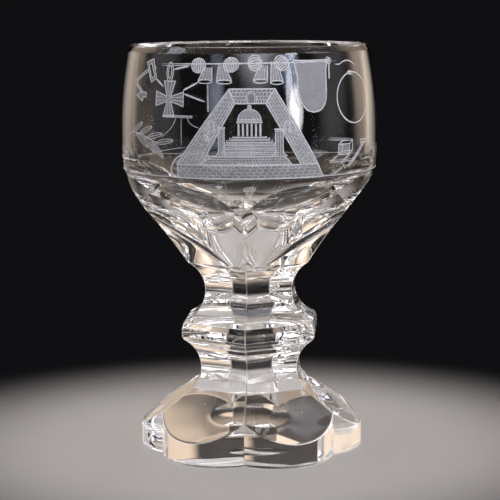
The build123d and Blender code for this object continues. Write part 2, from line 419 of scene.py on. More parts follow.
clearGlass, tree, shader = newMaterial("clearGlass")
wear = addNode(tree, "ShaderNodeGroup", node_tree=handWear)
for key, value in {"Polish": 0.002, "Smear": 0.02, "Rim Wear": 0.25, "Edge Wear": 0.42}.items():
    wear.inputs[key].default_value = value
relief = addNode(tree, "ShaderNodeBump", {"Height": wear.outputs["Height"], "Distance": 0.00002, "Strength": 0.2})
tree.links.new(wear.outputs["Tint"], shader.inputs["Base Color"])
tree.links.new(wear.outputs["Roughness"], shader.inputs["Roughness"])
tree.links.new(relief.outputs["Normal"], shader.inputs["Normal"])
shader.inputs["IOR"].default_value = 1.54
shader.inputs["Transmission Weight"].default_value = 1.0
lightPath = tree.nodes.new("ShaderNodeLightPath")
letThrough = tree.nodes.new("ShaderNodeBsdfTransparent")
letThrough.inputs["Color"].default_value = (0.84, 0.83, 0.81, 1)
mixer = tree.nodes.new("ShaderNodeMixShader")
output = [node for node in tree.nodes if node.type == "OUTPUT_MATERIAL"][0]
tree.links.new(lightPath.outputs["Is Shadow Ray"], mixer.inputs["Fac"])
tree.links.new(shader.outputs["BSDF"], mixer.inputs[1])
tree.links.new(letThrough.outputs["BSDF"], mixer.inputs[2])
tree.links.new(mixer.outputs["Shader"], output.inputs["Surface"])
glassBody.data.materials.append(clearGlass)

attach(glassBody, "root")
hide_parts("bowl", "stem", "foot")

def newTree(name, sizes):
    # A tree with a geometry input, the named sizes and a geometry output.
    tree = bpy.data.node_groups.new(name, "GeometryNodeTree")
    tree.interface.new_socket("Geometry", in_out="INPUT", socket_type="NodeSocketGeometry")
    for label, kind in sizes.items():
        tree.interface.new_socket(label, in_out="INPUT", socket_type="NodeSocket" + kind)
    tree.interface.new_socket("Geometry", in_out="OUTPUT", socket_type="NodeSocketGeometry")
    return tree, tree.nodes.new("NodeGroupInput").outputs


def endTree(tree, geometry, material):
    real = addNode(tree, "GeometryNodeRealizeInstances", {0: geometry})
    painted = addNode(tree, "GeometryNodeSetMaterial", {0: real.outputs[0], "Material": material})
    addNode(tree, "NodeGroupOutput", {0: painted.outputs[0]})


def runTree(tree, sizes, points=(), edges=(), faces=()):
    # Evaluates a tree on a flat mesh and hands back the plain mesh that it makes.
    start = bpy.data.meshes.new("flat")
    start.from_pydata(points, edges, faces)
    holder = bpy.data.objects.new("holder", start)
    bpy.context.scene.collection.objects.link(holder)
    modifier = holder.modifiers.new("nodes", "NODES")
    modifier.node_group = tree
    for item in tree.interface.items_tree:
        if item.in_out == "INPUT" and item.name in sizes:
            modifier[item.identifier] = sizes[item.name]
    graph = bpy.context.evaluated_depsgraph_get()
    plain = bpy.data.meshes.new_from_object(holder.evaluated_get(graph))
    bpy.data.objects.remove(holder)
    return plain


def copies(tree, count, cellsX, cellsY):
    # Unit grids, one for each number from 0, with that number kept on their points.
    points = addNode(tree, "GeometryNodeMeshLine", {"Count": count, "Offset": (0, 0, 0)})
    kept = tree.nodes.new("GeometryNodeCaptureAttribute")
    kept.capture_items.new("INT", "Number")
    tree.links.new(points.outputs[0], kept.inputs[0])
    tree.links.new(tree.nodes.new("GeometryNodeInputIndex").outputs[0], kept.inputs[1])
    unit = addNode(tree, "GeometryNodeMeshGrid", {"Size X": 1, "Size Y": 1, "Vertices X": cellsX + 1,
                                                  "Vertices Y": cellsY + 1})
    spread = addNode(tree, "GeometryNodeInstanceOnPoints", {0: kept.outputs[0], "Instance": unit.outputs[0]})
    return addNode(tree, "GeometryNodeRealizeInstances", {0: spread.outputs[0]}).outputs[0], kept.outputs[1]


# Engraving on the band. It is drawn flat in mm, s to the right round the bowl and z up, and wrapped on at the end.

engraveSize = {
    "facing": 4.2,        # degrees from -Y toward +X of the middle of the scene
    "cut": 0.34,          # width of a wheel-cut line
    "fine": 0.17,         # width of a hatching line
    "pitch": 0.5,        # spacing of hatching lines
    "reach": 1.2,         # longest stretch that stays straight
    "thickness": 0.02,
    "groundDepth": 0.048,
    "lineDepth": 0.026,
}
e = engraveSize
lines = {"points": [], "faces": []}
ground = {"points": [], "faces": []}


def strip(drawing, left, right):
    # Faces between two lines that have the same number of points, each strip a hair above the one before.
    start = len(drawing["points"])
    lift = 0.00015 * (len(drawing["faces"]) % 37)
    for a, b in zip(left, right):
        drawing["points"] += [(a[0], a[1], lift), (b[0], b[1], lift)]
    for index in range(start, len(drawing["points"]) - 2, 2):
        drawing["faces"].append((index, index + 1, index + 3, index + 2))


def fine(points, closed=False):
    points = [np.array(p, float) for p in points]
    if closed:
        points.append(points[0])
    path = [points[0]]
    for a, b in zip(points, points[1:]):
        steps = max(1, math.ceil(np.linalg.norm(b - a) / e["reach"]))
        path += [a + (b - a) * step / steps for step in range(1, steps + 1)]
    return np.array(path[:-1] if closed else path)


def arc(centre, half, start, end, count=16):
    turn = np.radians(np.linspace(start, end, count + 1))
    return np.column_stack([centre[0] + half[0] * np.cos(turn), centre[1] + half[1] * np.sin(turn)])


def curve(points, parts=6):
    # A smooth line through a few chosen points.
    p = np.array([points[0]] + list(points) + [points[-1]], float)
    path = [p[1]]
    for index in range(1, len(p) - 2):
        a, b, c, d = p[index - 1:index + 3]
        for step in range(1, parts + 1):
            t = step / parts
            path.append(0.5 * (2 * b + (c - a) * t + (2 * a - 5 * b + 4 * c - d) * t**2
                               + (3 * b - a - 3 * c + d) * t**3))
    return np.array(path)


def stroke(points, width, closed=False, taper=False):
    # A line cut by the wheel: mitred corners, slightly uneven width, and thin ends where it tapers.
    path = fine(points, closed)
    ahead = np.roll(path, -1, axis=0) - path
    if not closed:
        ahead[-1] = ahead[-2]
    ahead /= np.linalg.norm(ahead, axis=1, keepdims=True)
    behind = np.roll(ahead, 1, axis=0)
    if not closed:
        behind[0] = ahead[0]
    along = ahead + behind
    side = np.column_stack([-along[:, 1], along[:, 0]])
    side /= np.maximum(np.linalg.norm(side, axis=1, keepdims=True), 0.1)
    mitre = np.maximum(side[:, 1] * ahead[:, 0] - side[:, 0] * ahead[:, 1], 0.5)
    half = np.array([width / 2 * (1 + 0.35 * noise.noise(Vector((p[0], p[1], 0)) * 0.9)) for p in path])
    if taper:
        part = np.linspace(0, 1, len(path))
        half *= np.clip(np.minimum(part, 1 - part) / 0.16, 0.2, 1)
    offset = side * (half / mitre)[:, None]
    left, right = path - offset, path + offset
    if closed:
        left, right = np.vstack([left, left[:1]]), np.vstack([right, right[:1]])
    strip(lines, left, right)


def along(edge, count):
    # Points spaced evenly from one end of a line to the other.
    edge = np.array(edge, float)
    gone = np.concatenate([[0], np.cumsum(np.linalg.norm(np.diff(edge, axis=0), axis=1))])
    at = np.linspace(0, gone[-1], count)
    return np.column_stack([np.interp(at, gone, edge[:, 0]), np.interp(at, gone, edge[:, 1])])


def fill(edgeA, edgeB):
    # Matt ground between two edges.
    longest = max(np.linalg.norm(np.diff(np.array(edge, float), axis=0), axis=1).sum() for edge in (edgeA, edgeB))
    count = max(3, math.ceil(longest / e["reach"]) + 1)
    first, last = along(edgeA, count), along(edgeB, count)
    parts = max(1, math.ceil(np.linalg.norm(first - last, axis=1).max() / e["reach"]))
    for part in range(parts):
        strip(ground, first + (last - first) * part / parts, first + (last - first) * (part + 1) / parts)


def hatch(edgeA, edgeB, pitch):
    # Fine strokes from one edge to the other.
    width = max(np.linalg.norm(np.diff(np.array(edge, float), axis=0), axis=1).sum() for edge in (edgeA, edgeB))
    count = max(2, round(width / pitch))
    for start, end in zip(along(edgeA, count + 2)[1:-1], along(edgeB, count + 2)[1:-1]):
        if np.linalg.norm(end - start) > 0.5:
            stroke([start, end], e["fine"])


def addPlain(mesh):
    # Takes a plain mesh that a tree made into the line drawing.
    start = len(lines["points"])
    lines["points"] += [tuple(v.co) for v in mesh.vertices]
    lines["faces"] += [tuple(start + v for v in face.vertices) for face in mesh.polygons]
    bpy.data.meshes.remove(mesh)


# Wheel-cut line and matt ground.

wheelStroke = bpy.data.node_groups.new("wheelStroke", "ShaderNodeTree")
wheelStroke.interface.new_socket("Grain Size", in_out="INPUT", socket_type="NodeSocketFloat")
wheelStroke.interface.new_socket("Lightest", in_out="INPUT", socket_type="NodeSocketFloat")
wheelStroke.interface.new_socket("Cover", in_out="INPUT", socket_type="NodeSocketFloat")
wheelStroke.interface.new_socket("Colour", in_out="OUTPUT", socket_type="NodeSocketColor")
wheelStroke.interface.new_socket("Alpha", in_out="OUTPUT", socket_type="NodeSocketFloat")
wheelStroke.interface.new_socket("Height", in_out="OUTPUT", socket_type="NodeSocketFloat")
given = wheelStroke.nodes.new("NodeGroupInput").outputs
where = wheelStroke.nodes.new("ShaderNodeTexCoord").outputs["Object"]
grain = addNode(wheelStroke, "ShaderNodeTexNoise", {"Vector": where, "Scale": given["Grain Size"], "Detail": 3.0})
worn = addNode(wheelStroke, "ShaderNodeTexNoise", {"Vector": where, "Scale": 140.0, "Detail": 2.0})
mottle = addNode(wheelStroke, "ShaderNodeMapRange", {"Value": grain.outputs[0], "From Min": 0.3, "From Max": 0.7,
                                                     "To Min": 0.72, "To Max": 1.0})
patchy = addNode(wheelStroke, "ShaderNodeMapRange", {"Value": worn.outputs[0], "From Min": 0.35, "From Max": 0.65,
                                                     "To Min": 0.8, "To Max": 1.0})
level = maths(wheelStroke, "MULTIPLY", given["Lightest"], mottle.outputs[0])
tint = addNode(wheelStroke, "ShaderNodeCombineColor", {0: level, 1: level, 2: maths(wheelStroke, "MULTIPLY", level, 1.04)})
cover = maths(wheelStroke, "MULTIPLY", given["Cover"], maths(wheelStroke, "MULTIPLY", mottle.outputs[0], patchy.outputs[0]))
addNode(wheelStroke, "NodeGroupOutput", {0: tint.outputs[0], 1: cover, 2: grain.outputs[0]})


def engravedMaterial(name, lightest, cover, roughness):
    material, tree, shader = newMaterial(name)
    cut = addNode(tree, "ShaderNodeGroup", node_tree=wheelStroke)
    for key, value in {"Grain Size": 2600.0, "Lightest": lightest, "Cover": cover}.items():
        cut.inputs[key].default_value = value
    bump = addNode(tree, "ShaderNodeBump", {"Height": cut.outputs["Height"], "Distance": 0.00001, "Strength": 0.6})
    tree.links.new(cut.outputs["Colour"], shader.inputs["Base Color"])
    tree.links.new(cut.outputs["Alpha"], shader.inputs["Alpha"])
    tree.links.new(bump.outputs["Normal"], shader.inputs["Normal"])
    shader.inputs["Roughness"].default_value = roughness
    return material


cutLine = engravedMaterial("cutLine", 0.92, 0.9, 0.5)
mattGround = engravedMaterial("mattGround", 0.66, 0.34, 0.7)

# Tree: a row of strokes from feet to heads, bowed outward toward the ends of the row where Bulge is given.

strokeRow, given = newTree("strokeRow", {
    "Count": "Int", "First Foot": "Vector", "Last Foot": "Vector", "First Head": "Vector", "Last Head": "Vector",
    "Width": "Float", "Bulge": "Float", "Wander": "Float", "Seed": "Int"})
units, number = copies(strokeRow, given["Count"], 12, 1)
spot = apart(strokeRow, strokeRow.nodes.new("GeometryNodeInputPosition").outputs[0])
up = maths(strokeRow, "ADD", spot[0], 0.5)
share = maths(strokeRow, "DIVIDE", number, maths(strokeRow, "MAXIMUM", maths(strokeRow, "SUBTRACT", given["Count"], 1), 1))
foot = blend(strokeRow, share, given["First Foot"], given["Last Foot"])
head = blend(strokeRow, share, given["First Head"], given["Last Head"])
middle = blend(strokeRow, up, foot, head)
ahead = vectorMaths(strokeRow, "NORMALIZE", vectorMaths(strokeRow, "SUBTRACT", head, foot))
aheadParts = apart(strokeRow, ahead)
sideways = joined(strokeRow, maths(strokeRow, "MULTIPLY", aheadParts[1], -1), aheadParts[0], 0)
outer = maths(strokeRow, "MULTIPLY_ADD", share, -2, 1)
around = maths(strokeRow, "MULTIPLY_ADD", up, 2, -1)
bow = maths(strokeRow, "SQRT", maths(strokeRow, "MAXIMUM", maths(strokeRow, "SUBTRACT", 1, maths(
    strokeRow, "MULTIPLY", around, around)), 0))
bulge = maths(strokeRow, "MULTIPLY", maths(strokeRow, "MULTIPLY", outer, bow), given["Bulge"])
chance = addNode(strokeRow, "FunctionNodeRandomValue", {2: -1.0, 3: 1.0, "ID": number, "Seed": given["Seed"]})
stray = maths(strokeRow, "MULTIPLY", chance.outputs[1], given["Wander"])
aside = maths(strokeRow, "ADD", maths(strokeRow, "MULTIPLY", spot[1], given["Width"]), maths(strokeRow, "ADD", bulge, stray))
moved = vectorMaths(strokeRow, "ADD", middle, scaled(strokeRow, sideways, aside))
laid = addNode(strokeRow, "GeometryNodeSetPosition", {0: units, "Position": moved})
endTree(strokeRow, laid.outputs[0], cutLine)


def row(count, firstFoot, lastFoot, firstHead, lastHead, width, bulge=0.0, wander=0.0, seed=3):
    corners = {"First Foot": firstFoot, "Last Foot": lastFoot, "First Head": firstHead, "Last Head": lastHead}
    sizes = {name: (float(p[0]), float(p[1]), 0.002) for name, p in corners.items()}
    addPlain(runTree(strokeRow, sizes | {"Count": count, "Width": width, "Bulge": bulge, "Wander": wander, "Seed": seed}))


# Tree: courses of stone between four corners, with upright joints that break from course to course.

stoneCourses, given = newTree("stoneCourses", {
    "Courses": "Int", "Stones": "Int", "Lower Left": "Vector", "Lower Right": "Vector", "Upper Left": "Vector",
    "Upper Right": "Vector", "Joint": "Float"})
units, number = copies(stoneCourses, maths(stoneCourses, "MULTIPLY", given["Courses"], given["Stones"]), 1, 2)
spot = apart(stoneCourses, stoneCourses.nodes.new("GeometryNodeInputPosition").outputs[0])
course = maths(stoneCourses, "FLOOR", maths(stoneCourses, "DIVIDE", number, given["Stones"]))
stone = maths(stoneCourses, "FLOORED_MODULO", number, given["Stones"])
broken = maths(stoneCourses, "MULTIPLY_ADD", maths(stoneCourses, "FLOORED_MODULO", course, 2), 0.5, 0.25)
right = maths(stoneCourses, "DIVIDE", maths(stoneCourses, "ADD", stone, broken), given["Stones"])
up = maths(stoneCourses, "DIVIDE", maths(stoneCourses, "ADD", course, maths(stoneCourses, "ADD", spot[1], 0.5)), given["Courses"])
lower = blend(stoneCourses, right, given["Lower Left"], given["Lower Right"])
upper = blend(stoneCourses, right, given["Upper Left"], given["Upper Right"])
level = vectorMaths(stoneCourses, "NORMALIZE", vectorMaths(stoneCourses, "SUBTRACT", given["Lower Right"], given["Lower Left"]))
wide = scaled(stoneCourses, level, maths(stoneCourses, "MULTIPLY", spot[0], given["Joint"]))
moved = vectorMaths(stoneCourses, "ADD", blend(stoneCourses, up, lower, upper), wide)
laid = addNode(stoneCourses, "GeometryNodeSetPosition", {0: units, "Position": moved})
endTree(stoneCourses, laid.outputs[0], cutLine)


def courses(count, stones, width, lowerLeft, lowerRight, upperLeft, upperRight):
    corners = {"Lower Left": lowerLeft, "Lower Right": lowerRight, "Upper Left": upperLeft, "Upper Right": upperRight}
    sizes = {name: (float(p[0]), float(p[1]), 0.004) for name, p in corners.items()}
    addPlain(runTree(stoneCourses, sizes | {"Courses": count, "Stones": stones, "Joint": width}))
    row(count + 1, lowerLeft, upperLeft, lowerRight, upperRight, width)


# Tree: leaves that stand alternately left and right along a stem.

leafSprig, given = newTree("leafSprig", {
    "Leaves": "Int", "Leaf Length": "Float", "Leaf Width": "Float", "Line Width": "Float", "Lean": "Float", "Seed": "Int"})
path = addNode(leafSprig, "GeometryNodeMeshToCurve", {0: given["Geometry"]})
spaced = addNode(leafSprig, "GeometryNodeResampleCurve", {0: path.outputs[0], "Count": given["Leaves"]})
outline = addNode(leafSprig, "GeometryNodeGroup", node_tree=strokeRow)
tip = joined(leafSprig, given["Leaf Length"], 0, 0)
leafSizes = {"Count": 3, "First Head": tip, "Last Head": tip, "Width": given["Line Width"],
             "Bulge": maths(leafSprig, "MULTIPLY", given["Leaf Width"], 0.5)}
for key, value in leafSizes.items():
    if isinstance(value, bpy.types.NodeSocket):
        leafSprig.links.new(value, outline.inputs[key])
    else:
        outline.inputs[key].default_value = value
number = leafSprig.nodes.new("GeometryNodeInputIndex").outputs[0]
turnSide = maths(leafSprig, "MULTIPLY_ADD", maths(leafSprig, "FLOORED_MODULO", number, 2), -2, 1)
follow = addNode(leafSprig, "FunctionNodeAlignRotationToVector", {
    "Vector": leafSprig.nodes.new("GeometryNodeInputTangent").outputs[0]}, axis="X", pivot_axis="Z")
lean = addNode(leafSprig, "FunctionNodeAxisAngleToRotation", {
    "Axis": (0, 0, 1), "Angle": maths(leafSprig, "MULTIPLY", turnSide, given["Lean"])})
turned = addNode(leafSprig, "FunctionNodeRotateRotation", {0: follow.outputs[0], 1: lean.outputs[0]})
chance = addNode(leafSprig, "FunctionNodeRandomValue", {2: 0.85, 3: 1.1, "ID": number, "Seed": given["Seed"]})
leaves = addNode(leafSprig, "GeometryNodeInstanceOnPoints", {
    0: spaced.outputs[0], "Instance": outline.outputs[0], "Rotation": turned.outputs[0],
    "Scale": joined(leafSprig, chance.outputs[1], chance.outputs[1], 1)})
endTree(leafSprig, leaves.outputs[0], cutLine)

# Tree: a flat drawing becomes thin closed plates that follow the round of the band.

wrapOnBand, given = newTree("wrapOnBand", {
    "Belly Radius": "Float", "Belly Arc": "Float", "Belly Level": "Float", "Facing": "Float", "Depth": "Float",
    "Thickness": "Float", "Material": "Material"})
flatNormal = apart(wrapOnBand, wrapOnBand.nodes.new("GeometryNodeInputNormal").outputs[0])
under = addNode(wrapOnBand, "FunctionNodeCompare", {0: flatNormal[2], 1: 0.0}, operation="LESS_THAN")
upward = addNode(wrapOnBand, "GeometryNodeFlipFaces", {0: given["Geometry"], "Selection": under.outputs[0]})
raised = addNode(wrapOnBand, "GeometryNodeExtrudeMesh", {
    0: upward.outputs[0], "Offset": (0, 0, 1), "Offset Scale": given["Thickness"], "Individual": False})
back = addNode(wrapOnBand, "GeometryNodeFlipFaces", {0: upward.outputs[0]})
both = wrapOnBand.nodes.new("GeometryNodeJoinGeometry")
wrapOnBand.links.new(raised.outputs[0], both.inputs[0])
wrapOnBand.links.new(back.outputs[0], both.inputs[0])
closed = addNode(wrapOnBand, "GeometryNodeMergeByDistance", {0: both.outputs[0], "Distance": 0.00001})
spot = apart(wrapOnBand, wrapOnBand.nodes.new("GeometryNodeInputPosition").outputs[0])
arcSquare = maths(wrapOnBand, "MULTIPLY", given["Belly Arc"], given["Belly Arc"])
above = maths(wrapOnBand, "SUBTRACT", spot[1], given["Belly Level"])
reach = maths(wrapOnBand, "SQRT", maths(wrapOnBand, "SUBTRACT", arcSquare, maths(wrapOnBand, "MULTIPLY", above, above)))
skin = maths(wrapOnBand, "ADD", maths(wrapOnBand, "SUBTRACT", given["Belly Radius"], given["Belly Arc"]), reach)
radius = maths(wrapOnBand, "ADD", maths(wrapOnBand, "SUBTRACT", skin, given["Depth"]), spot[2])
turn = maths(wrapOnBand, "ADD", maths(wrapOnBand, "DIVIDE", spot[0], given["Belly Radius"]), given["Facing"])
rightward = maths(wrapOnBand, "MULTIPLY", maths(wrapOnBand, "SINE", turn), radius)
forward = maths(wrapOnBand, "MULTIPLY", maths(wrapOnBand, "MULTIPLY", maths(wrapOnBand, "COSINE", turn), radius), -1)
wrapped = scaled(wrapOnBand, joined(wrapOnBand, rightward, forward, spot[1]), mm)
laid = addNode(wrapOnBand, "GeometryNodeSetPosition", {0: closed.outputs[0], "Position": wrapped})
endTree(wrapOnBand, laid.outputs[0], given["Material"])

# What hangs along the top: a rod with striped balls, cuffs, a banner and a ribbon.

hangings = {
    "rod": [(-32.2, 134.6), (0, 134.9), (32.4, 135.1)],
    "secondLine": [(-32.2, 134.05), (-19.6, 134.2)],
    "balls": [(-17.2, 134.2, 0), (-5.9, 134.5, -15), (2.1, 135.0, 80), (11.0, 134.9, 50)],   # s, z, turn of the stripes
    "ballHalf": 2.5, "stripes": 7,
    "cuffs": [
        {"top": (-15.0, -12.4, 133.6), "bottom": (-17.1, -12.3, 129.5)},
        {"top": (-10.1, -7.9, 134.4), "bottom": (-10.7, -5.7, 129.4)},
        {"top": (3.6, 6.2, 134.2), "bottom": (1.5, 6.2, 129.6)},
        {"top": (7.6, 9.6, 135.4), "bottom": (7.2, 11.4, 129.1)},
    ],
    "cuffRim": 0.62,
    "bannerTop": [(15.2, 135.7), (20, 135.5), (28.8, 135.6)],
    "bannerLeft": [(15.2, 135.7), (16.3, 131.5), (16.6, 125.5), (17.6, 122.1), (19.5, 119.8), (21.8, 119.0)],
    "bannerRight": [(28.8, 135.6), (27.6, 132.5), (27.3, 128.0), (27.0, 123.5), (26.0, 121.0), (24.3, 119.5), (21.8, 119.0)],
    "bow": (28.9, 135.3), "cord": [(29.3, 134.6), (28.9, 129.3)],
    "ribbonHalf": (1.35, 3.1), "ribbonCentre": (-28.2, 132.0),
    "string": [(-13.7, 128.2), (-13.4, 119.6)],
}


def drawCuff(cuff):
    topLeft, topRight, topLevel = cuff["top"]
    left, right, level = cuff["bottom"]
    for _ in range(2):
        fill([(topLeft, topLevel), (topRight, topLevel)], [(left, level), (right, level)])
    row(5, (left, level), (right, level), (topLeft, topLevel), (topRight, topLevel), e["fine"] * 0.7, wander=0.05)
    stroke([(topLeft, topLevel), (left, level)], e["cut"])
    stroke([(topRight, topLevel), (right, level)], e["cut"])
    rimCentre, rimHalf = ((left + right) / 2, level - 0.35), ((right - left) / 2, hangings["cuffRim"])
    stroke(arc(rimCentre, rimHalf, 0, 345), e["cut"], closed=True)


def drawHangings():
    h = hangings
    stroke(h["rod"], 0.42, taper=True)
    stroke(h["secondLine"], e["fine"] * 1.4, taper=True)
    half = h["ballHalf"]
    for x, z, turn in h["balls"]:
        for _ in range(2):
            fill(arc((x, z), (half, half), -90, 90), arc((x, z), (half, half), -90, -270))
        reach = np.array([math.sin(deg(turn)), math.cos(deg(turn))]) * half
        foot, head = (x - reach[0], z - reach[1]), (x + reach[0], z + reach[1])
        row(h["stripes"], foot, foot, head, head, e["cut"], bulge=half)
    for cuff in h["cuffs"]:
        drawCuff(cuff)
    left, right = curve(h["bannerLeft"]), curve(h["bannerRight"])
    top = curve(h["bannerTop"])
    fill(left, right)
    fill(left, right)
    for edge in (left, right, top):
        stroke(edge, e["cut"] * 1.2)
    x, z = h["bow"]
    for turn in (20, 100, 200, 300):
        lobe = (x + 0.7 * math.cos(deg(turn)), z + 0.6 * math.sin(deg(turn)))
        stroke(arc(lobe, (0.62, 0.5), 0, 340, 10), e["cut"], closed=True)
    stroke(h["cord"], e["cut"], taper=True)
    stroke([(s - 0.42, z) for s, z in h["cord"]], e["fine"], taper=True)
    for side in (-0.16, 0.16):
        stroke([(s + side, z) for s, z in h["string"]], e["fine"])
    for shrink in (1, 0.5):
        half = (h["ribbonHalf"][0] * shrink, h["ribbonHalf"][1] * (0.35 + 0.65 * shrink))
        stroke(arc(h["ribbonCentre"], half, 0, 345, 24), e["cut"], closed=True)


# A cross with widening arms, its bar and the rods behind it.

crossSize = {"centre": (-28.1, 123.4), "reach": 5.7, "arm": 2.35, "waist": 0.75, "bar": (-30.6, -18.9, 118.0),
             "rods": [[(-22.6, 126.2), (-17.0, 128.9)], [(-22.4, 125.2), (-14.5, 122.7)], [(-26.9, 132.8), (-20.6, 134.1)],
                      [(-34.6, 129.9), (-30.6, 127.2)]],
             "flanks": [[(-24.9, 117.6), (-27.0, 114.0), (-31.6, 110.6)], [(-20.9, 117.7), (-19.6, 115.6), (-16.4, 114.1)]],
             "post": [(-23.0, 117.7), (-23.0, 108.6)], "sill": [(-39.4, 104.6), (-32.5, 106.1), (-25.0, 107.5), (-21.0, 108.0)]}


def drawCross():
    c = crossSize
    x, z = c["centre"]
    for turn in (0, 90, 180, 270):
        ahead = np.array([math.cos(deg(turn)), math.sin(deg(turn))])
        side = np.array([-ahead[1], ahead[0]])
        root, end = np.array([x, z]) + ahead * c["waist"], np.array([x, z]) + ahead * c["reach"]
        inner = [root - side * c["waist"], root + side * c["waist"]]
        outer = [end - side * c["arm"], end + side * c["arm"]]
        fill(inner, outer)
        stroke([inner[0], outer[0], outer[1], inner[1]], e["cut"])
        row(4, inner[0], inner[1], outer[0], outer[1], e["fine"])
    waist = c["waist"]
    fill([(x - waist, z - waist), (x + waist, z - waist)], [(x - waist, z + waist), (x + waist, z + waist)])
    stroke([(x - waist, z - waist), (x + waist, z + waist)], e["cut"])
    left, right, level = c["bar"]
    stroke([(left, level), (right, level)], e["cut"])
    stroke([(left, level - 0.5), (right, level - 0.5)], e["fine"])
    for rod in c["rods"]:
        stroke(rod, e["cut"] * 1.8, taper=True)
    for faint in c["flanks"] + [c["sill"]]:
        stroke(curve(faint), e["fine"], taper=True)
    stroke(c["post"], e["fine"], taper=True)


# The stone frame: two slanting legs and a lintel with an arched window.

frameSize = {"topOuter": (-6.5, 8.5, 126.8), "topInner": (-4.7, 5.5, 122.2), "footOuter": (-24.8, 23.3, 102.4),
             "footInner": (-15.8, 17.1, 102.6), "border": 0.8, "arch": (0.75, 1.65, 122.3, 124.4),
             "legWindows": [(-12.3, 1.1, 112.8, 115.8), (12.4, 1.1, 112.6, 115.6)]}


def drawArch(arch):
    middle, half, sill, spring = arch
    for inset in (0, 0.5):
        crown = arc((middle, spring), (half - inset, half - inset), 180, 0, 10)
        stroke([(middle - half + inset, sill)] + list(crown) + [(middle + half - inset, sill)], e["fine"] * 1.4)


def drawFrame():
    f = frameSize
    (outLeft, outRight, top), (inLeft, inRight, under) = f["topOuter"], f["topInner"]
    (baseLeft, baseRight, low), (legLeft, legRight, legLow) = f["footOuter"], f["footInner"]
    sides = [((outLeft, top), (baseLeft, low), (inLeft, under), (legLeft, legLow)),
             ((outRight, top), (baseRight, low), (inRight, under), (legRight, legLow))]
    for outerTop, outerLow, innerTop, innerLow in sides:
        outer, inner = [np.array(outerTop), np.array(outerLow)], [np.array(innerTop), np.array(innerLow)]
        for _ in range(2):
            fill(outer, inner)
        stroke(outer, e["cut"] * 1.3)
        stroke(inner, e["cut"] * 1.3)
        for share in (0.14, 0.84):
            stroke([a + (b - a) * share for a, b in zip(outer, inner)], e["fine"] * 1.3)
        at = [outer[0] + (inner[0] - outer[0]) * 0.14, outer[0] + (inner[0] - outer[0]) * 0.84,
              outer[1] + (inner[1] - outer[1]) * 0.14, outer[1] + (inner[1] - outer[1]) * 0.84]
        courses(4, 17, e["fine"] * 0.6, at[0], at[2], at[1], at[3])
        stroke([outerTop, innerTop], e["cut"])
    fill([(outLeft, top), (outRight, top)], [(inLeft, under), (inRight, under)])
    stroke([(outLeft, top), (outRight, top)], e["cut"] * 1.3)
    stroke([(inLeft, under), (inRight, under)], e["cut"] * 1.3)
    middle, half = f["arch"][:2]
    for end, high, edge in ((inLeft, outLeft, middle - half), (inRight, outRight, middle + half)):
        courses(4, 4, e["fine"], (end, under), (edge, under), (high, top), (edge, top))
    for arch in [f["arch"]] + f["legWindows"]:
        drawArch(arch)


# The temple: dome, colonnade and steps.

templeSize = {"middle": 0.1, "domeHalf": (3.75, 3.7), "domeLevel": 116.7, "knob": (0.45, 0.5), "cornice": (4.2, 116.1),
              "columns": 6, "columnHalf": 3.5, "columnTop": 115.7, "columnFoot": 111.8,
              "steps": [(5.4, 111.4), (6.4, 110.6), (7.4, 109.7), (8.1, 108.8), (8.4, 107.7), (8.6, 106.5), (8.8, 105.3)]}


def drawTemple():
    t = templeSize
    x, level = t["middle"], t["domeLevel"]
    halfX, halfZ = t["domeHalf"]
    crown = arc((x, level), t["domeHalf"], 180, 0, 24)
    for _ in range(2):
        fill(crown, [(x - halfX, level), (x + halfX, level)])
    stroke(crown, e["cut"])
    row(7, (x - halfX, level), (x + halfX, level), (x - 0.3, level + halfZ), (x + 0.3, level + halfZ), e["fine"] * 0.7, bulge=0.9)
    stroke(arc((x, level + halfZ + 0.7), t["knob"], 0, 340, 12), e["cut"] * 1.4, closed=True)
    half, low = t["cornice"]
    for gap in (0, 0.5, 1.0):
        stroke([(x - half + gap * 0.3, low + gap), (x + half - gap * 0.3, low + gap)], e["cut"])
    ends = [(x - t["columnHalf"], x + t["columnHalf"], level) for level in (t["columnFoot"], t["columnTop"])]
    (left, right, foot), (_, _, head) = ends
    row(t["columns"], (left, foot), (right, foot), (left, head), (right, head), 0.62)
    above = t["columnFoot"]
    for half, level in t["steps"]:
        fill([(x - half, above), (x + half, above)], [(x - half, level), (x + half, level)])
        stroke([(x - half, level), (x + half, level)], e["cut"])
        stroke([(x - half, level), (x - half, above)], e["fine"])
        stroke([(x + half, level), (x + half, above)], e["fine"])
        if level < 109:
            row(3, (x - half, level), (x - half, above), (x + half, level), (x + half, above), e["fine"])
        above = level


# Pillars, the course of masonry under them and the slab that it all stands on.

baseSize = {
    "pillars": [(-10.0, -8.1, 105.4, 114.5), (8.5, 11.0, 105.4, 113.9)], "flare": 1.5,
    "upper": [(-16.8, 102.6), (13.9, 102.6), (-12.4, 105.2), (11.6, 105.2)],
    "slab": [(-24.8, 98.0), (25.6, 98.0), (-24.8, 102.3), (23.4, 102.3)],
}


def drawBase():
    for left, right, low, high in baseSize["pillars"]:
        fill([(left, low), (right, low)], [(left, high), (right, high)])
        row(4, (left, low), (right, low), (left, high), (right, high), e["fine"])
        for edge in (left, right):
            out = -baseSize["flare"] if edge == left else baseSize["flare"]
            stroke([(edge + out, low - 0.2), (edge + out * 0.25, low + 0.6), (edge, low + 1.6), (edge, high)], e["cut"])
        stroke([(left - 0.4, high), (right + 0.4, high)], e["cut"] * 1.3)
        stroke([(left - 0.2, high - 0.6), (right + 0.2, high - 0.6)], e["fine"])
    for name, count, stones in (("upper", 3, 26), ("slab", 4, 24)):
        lowLeft, lowRight, highLeft, highRight = baseSize[name]
        fill([lowLeft, lowRight], [highLeft, highRight])
        courses(count, stones, e["fine"] * 0.75, lowLeft, lowRight, highLeft, highRight)
        stroke([lowLeft, highLeft, highRight, lowRight], e["cut"] * 1.2, closed=True)


# The leafy branch on the left.

